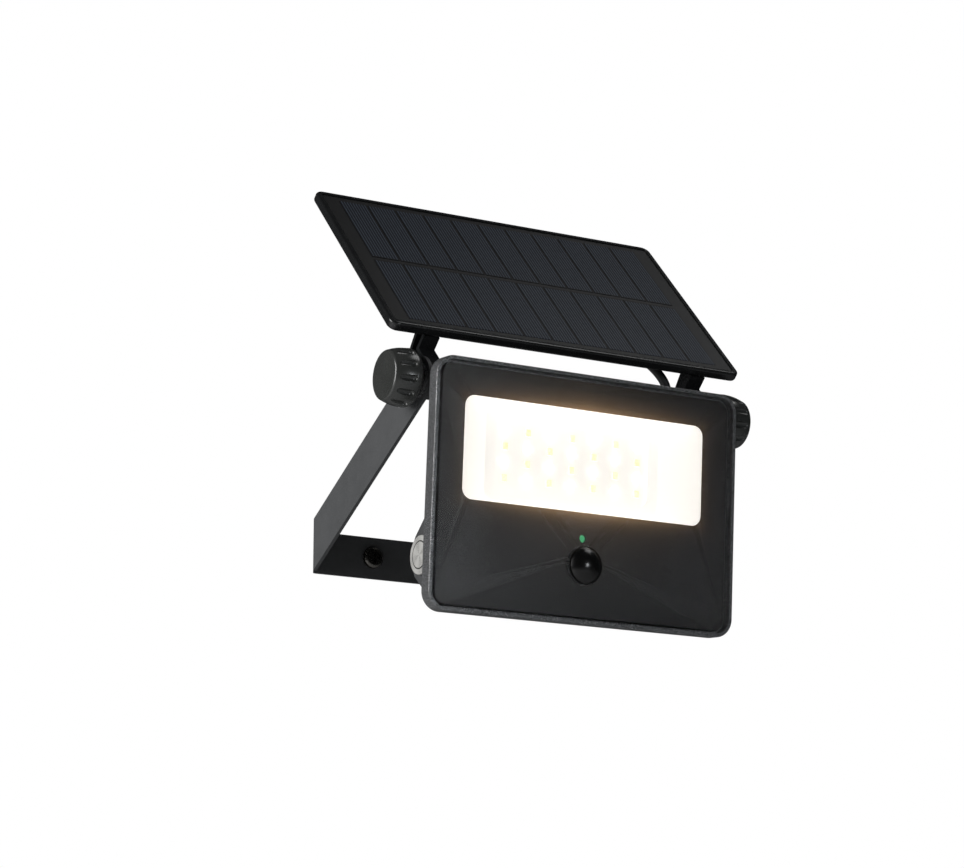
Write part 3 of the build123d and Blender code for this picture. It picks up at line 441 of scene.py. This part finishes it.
def led_board_finish():
    """White solder mask with an outline round every light and a gap between the copper areas, under a painted glow
    standing in for the lights' light.
    """
    mark_colour = (0.62, 0.6, 0.55)
    finish = Finish("board_white")
    x, _, z = finish.from_pivot(HEAD_TILT)
    off_x = off_grid(finish, x, 0.0, LED_PITCH_X, LED_COLUMNS)
    off_z = off_grid(finish, z, BOARD_Z, LED_PITCH_Z, LED_ROWS)
    past_side = finish.math("SUBTRACT", off_x, LED_OUTLINE_HALF_WIDTH)
    past_top = finish.math("SUBTRACT", off_z, LED_OUTLINE_HALF_HEIGHT)
    past_outline = finish.math("MAXIMUM", past_side, past_top)
    printed = finish.math("LESS_THAN", finish.math("ABSOLUTE", past_outline), LED_OUTLINE_HALF_LINE)
    gap = finish.math("GREATER_THAN", off_x, LED_PITCH_X / 2 - COPPER_HALF_GAP)
    marks = finish.math("MAXIMUM", printed, gap)
    clouds = finish.noise(size_mm=12, detail=4)
    white = finish.ramp(clouds, dark=(0.82, 0.81, 0.8), light=(0.88, 0.87, 0.86))
    finish.feed("Base Color", finish.mix(marks, white, mark_colour))
    finish.roughen(finish.noise(size_mm=5, detail=3), 0.35, 0.5)
    finish.bump(marks, depth_mm=0.01)
    # Painted glow standing in for the light inside the window.
    painted_light_from_inside(finish, x, strength=0.68, gain=0.0)
    return finish.material


def circuit_finish():
    """Green solder mask over copper tracks."""
    mask_colour = (0.012, 0.09, 0.04)
    track_colour = (0.03, 0.16, 0.07)
    tracks_turn_per_mm = 2.6
    track_level = 1.1
    finish = Finish("board_green")
    x, _, z = finish.from_pivot(HEAD_TILT)
    diagonal = finish.math("MULTIPLY", finish.math("ADD", x, z), tracks_turn_per_mm)
    wandering = finish.math("ADD", finish.math("SINE", diagonal), finish.noise(size_mm=7, detail=2))
    tracks = finish.math("GREATER_THAN", wandering, track_level)
    finish.feed("Base Color", finish.mix(tracks, mask_colour, track_colour))
    finish.roughen(finish.noise(size_mm=3, detail=4), 0.25, 0.4)
    finish.bump(tracks, depth_mm=0.03)
    return finish.material


def lens_finish():
    """Glossy near-black lens with faint moulding ripples."""
    finish = Finish("lens_black")
    clouds = finish.noise(size_mm=6, detail=4)
    black = finish.ramp(clouds, dark=(0.003, 0.003, 0.003), light=(0.0045, 0.0045, 0.0045))
    finish.feed("Base Color", black)
    finish.roughen(clouds, 0.2, 0.26)
    finish.bump(finish.noise(size_mm=1.2, detail=2), depth_mm=0.004)
    return finish.material


def glowing(name, colour, strength):
    """A light that glows in its own colour, a little unevenly."""
    unevenness = 0.2
    finish = Finish(name)
    clouds = finish.noise(size_mm=1.0, detail=3)
    finish.feed("Base Color", finish.tones(clouds, colour, dark=0.8, light=1.0))
    glow = finish.span(clouds, strength * (1 - unevenness), strength * (1 + unevenness))
    finish.feed("Emission Strength", glow)
    finish.set(Emission_Color=(*colour, 1.0), Roughness=0.3)
    return finish.material


def wrap_finish():
    """Blue shrink wrap over part of the battery cells' length, and bare grey beyond it."""
    blue = (0.05, 0.16, 0.36)
    grey = (0.5, 0.5, 0.5)
    finish = Finish("cell_wrap")
    x, _, _ = finish.from_pivot(HEAD_TILT)
    bare = finish.math("GREATER_THAN", finish.distance(x, WRAP_X), WRAP_HALF_LENGTH)
    finish.feed("Base Color", finish.mix(bare, blue, grey))
    finish.roughen(finish.noise(size_mm=4, detail=4), 0.2, 0.4)
    finish.bump(finish.noise(size_mm=3, detail=3), depth_mm=0.03)
    return finish.material


STEEL = (0.55, 0.55, 0.56)

FINISHES = {
    "bracket_paint": powder_coat("bracket_paint", (0.052, 0.0535, 0.055), (0.5, 0.62)),
    "housing_paint": sparkle_paint(
        "housing_paint", (0.07, 0.071, 0.073), flake=(0.5, 0.505, 0.515), rough=(0.26, 0.36)),
    "housing_plastic": moulded("housing_plastic", (0.06, 0.061, 0.063), (0.42, 0.55)),
    "panel_plastic": moulded(
        "panel_plastic", (0.011, 0.0115, 0.012), (0.2, 0.3), grain_depth=0.008, edge_paleness=0.15),
    "knob_plastic": moulded(
        "knob_plastic", (0.04, 0.0415, 0.039), (0.2, 0.3), grain_mm=0.3, grain_depth=0.005, coat=0.4),
    "washer_nylon": moulded("washer_nylon", (0.018, 0.018, 0.019), (0.4, 0.6)),
    "gland_nylon": moulded("gland_nylon", (0.015, 0.015, 0.016), (0.35, 0.5)),
    "screw_steel": metal("screw_steel", STEEL),
    "black_steel": metal("black_steel", (0.12, 0.115, 0.105), (0.24, 0.34)),
    "stud_steel": metal("stud_steel", STEEL, brush=(0.2, 1, 1)),
    "insert_brass": metal("insert_brass", (0.72, 0.5, 0.2)),
    "front_glass": clear_glass(),
    "glass_print": print_finish(),
    "seal_rubber": moulded("seal_rubber", (0.01, 0.01, 0.01), (0.55, 0.75), grain_mm=0.8),
    "reflector_white": reflector_finish(),
    "board_white": led_board_finish(),
    "board_green": circuit_finish(),
    "led_warm": glowing("led_warm", (1.0, 0.93, 0.82), strength=9.0),
    # The unlit lights: a painted glow in their phosphor's colour, though they give no light.
    "led_phosphor": glowing("led_phosphor", (1.0, 0.95, 0.6), strength=0.8),
    "spreader_metal": metal("spreader_metal", (0.72, 0.73, 0.74), brush=(0.1, 1, 1)),
    "lens_black": lens_finish(),
    "sensor_can": metal("sensor_can", (0.62, 0.61, 0.58)),
    "led_green": glowing("led_green", (0.07, 0.5, 0.2), strength=0.6),
    "capacitor_black": moulded("capacitor_black", (0.015, 0.015, 0.03), (0.2, 0.35)),
    "ferrite": moulded("ferrite", (0.05, 0.05, 0.052), (0.5, 0.7)),
    "chip_black": moulded("chip_black", (0.015, 0.015, 0.015), (0.5, 0.65)),
    "connector_white": moulded("connector_white", (0.75, 0.73, 0.68), (0.4, 0.5)),
    "cell_wrap": wrap_finish(),
    "button_steel": turned_steel("button_steel", (0.8, 0.79, 0.755)),
    "terminal_metal": metal("terminal_metal", (0.7, 0.65, 0.5)),
    "solar_sheet": laminate_finish(),
    "solar_silicon": solar_cell_finish(),
    "cable_rubber": moulded("cable_rubber", (0.012, 0.012, 0.0125), (0.4, 0.55), grain_mm=0.5),
}


def dress_cad_nodes():
    """Gives every carried-over node the finish that the record names for it."""
    for part in frame["record"]["subparts"]:
        mesh = frame["nodes"][part["node"]].data
        mesh.materials.clear()
        mesh.materials.append(FINISHES[part["material_slot"]])


# ---------------------------------------------------------------- camera, light, floor

CAMERA_PLACE = Vector((-0.68549, -1.20729, -0.25855))
CAMERA_AIM = Vector((0.4886, 0.8420, 0.2289))
CAMERA_LENS = 106.66
CAMERA_SENSOR = 36.0
LIGHT_TARGET = (0.0, -0.08, 0.08)
FILL_COLOUR = (0.9, 0.95, 1.0)
FILL_STRENGTH = 0.03
FLOOR_Z = -0.6
FLOOR_HALF_SIDE = 3.0


def make_camera():
    data = bpy.data.cameras.new("camera")
    data.lens = CAMERA_LENS
    data.sensor_width = CAMERA_SENSOR
    data.clip_start = 0.05
    data.clip_end = 50.0
    camera = bpy.data.objects.new("camera", data)
    camera.location = CAMERA_PLACE
    camera.rotation_mode = "QUATERNION"
    camera.rotation_quaternion = CAMERA_AIM.to_track_quat("-Z", "Y")
    bpy.context.scene.collection.objects.link(camera)
    bpy.context.scene.camera = camera


def soft_light(name, place, size, power, colour=(1, 1, 1)):
    data = bpy.data.lights.new(name, "AREA")
    data.shape = "RECTANGLE"
    data.size, data.size_y = size
    data.energy = power
    data.color = colour
    light = bpy.data.objects.new(name, data)
    light.location = place
    light.rotation_mode = "QUATERNION"
    light.rotation_quaternion = (Vector(LIGHT_TARGET) - Vector(place)).to_track_quat("-Z", "Y")
    bpy.context.scene.collection.objects.link(light)


def make_lights():
    soft_light("left_softbox", place=(-1.58, -0.08, 0.3), size=(0.9, 1.2), power=25)
    soft_light("top_softbox", place=(0.73, -0.4, 1.4), size=(0.7, 0.5), power=2.6)
    soft_light(
        "front_softbox", place=(0.27, -1.69, -0.03), size=(0.28, 0.28), power=3.6, colour=(0.93, 0.97, 1.0))


def make_world():
    """White behind the object, and a dim even grey as light."""
    world = bpy.data.worlds.new("studio")
    bpy.context.scene.world = world
    world.use_nodes = True
    tree = world.node_tree
    tree.nodes.clear()
    output = tree.nodes.new("ShaderNodeOutputWorld")
    seen = tree.nodes.new("ShaderNodeBackground")
    seen.inputs["Color"].default_value = (1, 1, 1, 1)
    seen.inputs["Strength"].default_value = 1.0
    fill = tree.nodes.new("ShaderNodeBackground")
    fill.inputs["Color"].default_value = (*FILL_COLOUR, 1)
    fill.inputs["Strength"].default_value = FILL_STRENGTH
    path = tree.nodes.new("ShaderNodeLightPath")
    both = tree.nodes.new("ShaderNodeMixShader")
    tree.links.new(path.outputs["Is Camera Ray"], both.inputs[0])
    tree.links.new(fill.outputs[0], both.inputs[1])
    tree.links.new(seen.outputs[0], both.inputs[2])
    tree.links.new(both.outputs[0], output.inputs[0])


def make_floor():
    mesh = bpy.data.meshes.new("floor")
    side = FLOOR_HALF_SIDE
    corners = [(-side, -side, 0), (side, -side, 0), (side, side, 0), (-side, side, 0)]
    mesh.from_pydata(corners, [], [(0, 1, 2, 3)])
    floor = bpy.data.objects.new("floor", mesh)
    floor.location = (0, 0, FLOOR_Z)
    finish = Finish("floor")
    clouds = finish.noise(size_mm=400, detail=4)
    finish.feed("Base Color", finish.ramp(clouds, dark=(0.78, 0.78, 0.79), light=(0.84, 0.84, 0.84)))
    finish.set(Roughness=0.8)
    mesh.materials.append(finish.material)
    bpy.context.scene.collection.objects.link(floor)


# ---------------------------------------------------------------- cable

CABLE_ROUTE = [
    (0.028, -0.08775, 0.09682),
    (0.0435, -0.08775, 0.09682),
    (0.0578, -0.0892, 0.09185),
    (0.068, -0.0909, 0.07945),
    (0.063, -0.0899, 0.06166),
    (0.063, -0.08888, 0.0476),
]
CABLE_DIAMETER = 0.0045
CABLE_SIDES = 20
STEPS_PER_CORNER = 16


def route_points(name, points):
    """Points along the smooth line that the route's corners control."""
    curve = bpy.data.curves.new(name, "CURVE")
    curve.dimensions = "3D"
    spline = curve.splines.new("NURBS")
    spline.points.add(len(points) - 1)
    for point, place in zip(spline.points, points):
        point.co = (*place, 1)
    spline.order_u = 3
    spline.use_endpoint_u = True
    spline.resolution_u = STEPS_PER_CORNER
    holder = bpy.data.objects.new(name, curve)
    line = bpy.data.meshes.new_from_object(holder)
    places = [vertex.co.copy() for vertex in line.vertices]
    bpy.data.objects.remove(holder)
    return places


def tube_mesh(name, path, radius, sides):
    """A round tube along a path, with closed ends."""
    shape = bmesh.new()
    rings = []
    side = Vector((0, 1, 0))
    for index, place in enumerate(path):
        before = path[max(index - 1, 0)]
        after = path[min(index + 1, len(path) - 1)]
        along = (after - before).normalized()
        side = (side - along * side.dot(along)).normalized()
        up = along.cross(side)
        ring = []
        for step in range(sides):
            angle = 2 * math.pi * step / sides
            outward = math.cos(angle) * side + math.sin(angle) * up
            ring.append(shape.verts.new(place + radius * outward))
        rings.append(ring)
    for first, second in zip(rings, rings[1:]):
        for step in range(sides):
            turn = (step + 1) % sides
            shape.faces.new((first[step], first[turn], second[turn], second[step]))
    shape.faces.new(list(reversed(rings[0])))
    shape.faces.new(rings[-1])
    for face in shape.faces:
        face.smooth = len(face.verts) == 4
    bmesh.ops.recalc_face_normals(shape, faces=shape.faces)
    mesh = bpy.data.meshes.new(name)
    shape.to_mesh(mesh)
    shape.free()
    return mesh


def make_cable():
    path = route_points("cable_line", CABLE_ROUTE)
    mesh = tube_mesh("panel_cable", path, CABLE_DIAMETER / 2, CABLE_SIDES)
    mesh.materials.append(FINISHES["cable_rubber"])
    cable = bpy.data.objects.new("panel_cable", mesh)
    bpy.context.scene.collection.objects.link(cable)
    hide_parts("cable")
    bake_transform(cable)


bpy.context.scene.view_settings.view_transform = "Standard"
make_camera()
make_lights()
make_world()
make_floor()
dress_cad_nodes()
make_cable()
